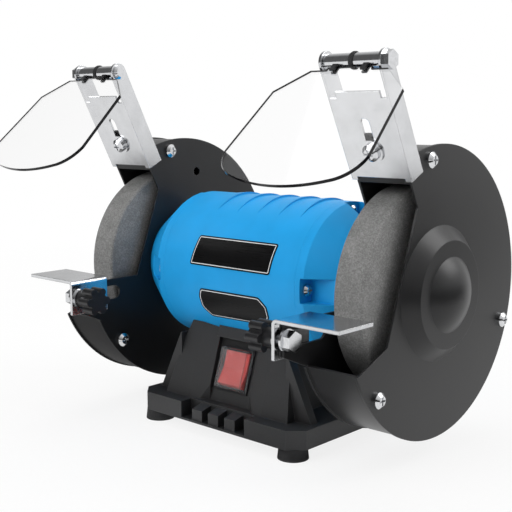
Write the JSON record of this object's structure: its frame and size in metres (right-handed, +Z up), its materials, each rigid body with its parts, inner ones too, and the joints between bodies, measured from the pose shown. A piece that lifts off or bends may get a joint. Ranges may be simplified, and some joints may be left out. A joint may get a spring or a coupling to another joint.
{
  "type": "bench grinder",
  "caption": "Double-ended bench grinder: motor on a moulded base, a guarded grinding wheel at each end, tool rests, spark guards, hinged eye shields and a rocker switch.",
  "frame": {"origin": "on the bench, in the middle of the four feet, below the middle of the spindle", "axes": "+X along the spindle to the right-hand wheel, -Y to the front with the switch, +Z up"},
  "size_m": [0.3052, 0.2133, 0.2367],
  "materials": {
    "base_black": "fine matt grain",
    "feet_rubber": "matt",
    "shell_blue": "satin paint with a fine grain",
    "end_blue": "satin paint on cast aluminium",
    "guard_black": "satin powder coat",
    "wheel_grey": "coarse open grain",
    "zinc_steel": "bright zinc plate",
    "bright_steel": "bright plate",
    "plain_steel": "machined",
    "core_steel": "stacked sheets",
    "copper_wire": "lacquered wire",
    "can_aluminium": "drawn can",
    "switch_black": "satin",
    "switch_red": "gloss",
    "clear_cap": "clear soft cap",
    "clear_shield": "clear sheet with polished edge",
    "rubber_black": "matt",
    "clip_black": "matt",
    "knob_black": "matt",
    "paper_grey": "matt"
  },
  "bodies": {
    "frame": {"base_housing": "base_black", "bottom_plate": "zinc_steel", "bottom_screws": "zinc_steel", "foot_front_left": "feet_rubber", "foot_front_right": "feet_rubber", "foot_rear_left": "feet_rubber", "foot_rear_right": "feet_rubber", "foot_screws": "zinc_steel", "switch_frame": "switch_black", "switch_cap": "clear_cap", "capacitor": "can_aluminium", "cable_gland": "base_black", "motor_shell": "shell_blue", "end_shield_left": "end_blue", "end_shield_right": "end_blue", "through_bolts": "zinc_steel", "through_bolt_nuts": "zinc_steel", "stator_core": "core_steel", "stator_windings": "copper_wire", "bearing_left": "plain_steel", "bearing_right": "plain_steel", "guard_left": "guard_black", "guard_right": "guard_black", "guard_screws": "zinc_steel", "post_screws": "zinc_steel", "guard_cover_left": "guard_black", "guard_cover_right": "guard_black", "cover_screws": "zinc_steel", "spark_screws": "zinc_steel", "spark_washers": "zinc_steel"},
    "rotor": {"shaft": "plain_steel", "rotor_core": "core_steel", "blotters": "paper_grey", "grinding_wheel_left": "wheel_grey", "grinding_wheel_right": "wheel_grey", "inner_flange_left": "plain_steel", "inner_flange_right": "plain_steel", "outer_flange_left": "plain_steel", "outer_flange_right": "plain_steel", "wheel_nut_left": "plain_steel", "wheel_nut_right": "plain_steel"},
    "rocker": {"switch_rocker": "switch_red"},
    "spark_left": {"spark_guard_left": "zinc_steel", "shield_rod_left": "bright_steel", "friction_ring_left": "rubber_black"},
    "shield_left": {"eye_shield_left": "clear_shield", "shield_sleeves_left": "bright_steel", "shield_clips_left": "clip_black"},
    "rest_left": {"tool_rest_left": "zinc_steel", "rest_bolt_left": "zinc_steel"},
    "knob_left": {"rest_knob_left": "knob_black"},
    "spark_right": {"spark_guard_right": "zinc_steel", "shield_rod_right": "bright_steel", "friction_ring_right": "rubber_black"},
    "shield_right": {"eye_shield_right": "clear_shield", "shield_sleeves_right": "bright_steel", "shield_clips_right": "clip_black"},
    "rest_right": {"tool_rest_right": "zinc_steel", "rest_bolt_right": "zinc_steel"},
    "knob_right": {"rest_knob_right": "knob_black"}
  },
  "joints": [
    {"name": "rotor_spin", "type": "hinge", "parent": "frame", "child": "rotor", "pos_m": [0, 0, 0.1008], "axis": [1, 0, 0], "continuous": true},
    {"name": "rocker_tilt", "type": "hinge", "parent": "frame", "child": "rocker", "pos_m": [0, -0.03688, 0.03989], "axis": [1, 0, 0], "range_deg": [0, 14]},
    {"name": "spark_guard_slide_left", "type": "slide", "parent": "frame", "child": "spark_left", "axis": [0, 0.454, -0.891], "range_m": [0, 0.008]},
    {"name": "eye_shield_hinge_left", "type": "hinge", "parent": "spark_left", "child": "shield_left", "pos_m": [-0.1066, -0.06003, 0.23074], "axis": [-1, 0, 0], "range_deg": [-10, 80]},
    {"name": "tool_rest_slide_left", "type": "slide", "parent": "frame", "child": "rest_left", "axis": [0, 1, 0], "range_m": [0, 0.009]},
    {"name": "rest_knob_turn_left", "type": "hinge", "parent": "rest_left", "child": "knob_left", "pos_m": [-0.0756, -0.0955, 0.0843], "axis": [1, 0, 0], "range_deg": [0, 360]},
    {"name": "spark_guard_slide_right", "type": "slide", "parent": "frame", "child": "spark_right", "axis": [0, 0.454, -0.891], "range_m": [0, 0.008]},
    {"name": "eye_shield_hinge_right", "type": "hinge", "parent": "spark_right", "child": "shield_right", "pos_m": [0.1066, -0.06003, 0.23074], "axis": [-1, 0, 0], "range_deg": [-10, 80]},
    {"name": "tool_rest_slide_right", "type": "slide", "parent": "frame", "child": "rest_right", "axis": [0, 1, 0], "range_m": [0, 0.009]},
    {"name": "rest_knob_turn_right", "type": "hinge", "parent": "rest_right", "child": "knob_right", "pos_m": [0.0756, -0.0955, 0.0843], "axis": [1, 0, 0], "range_deg": [0, 360]}
  ]
}
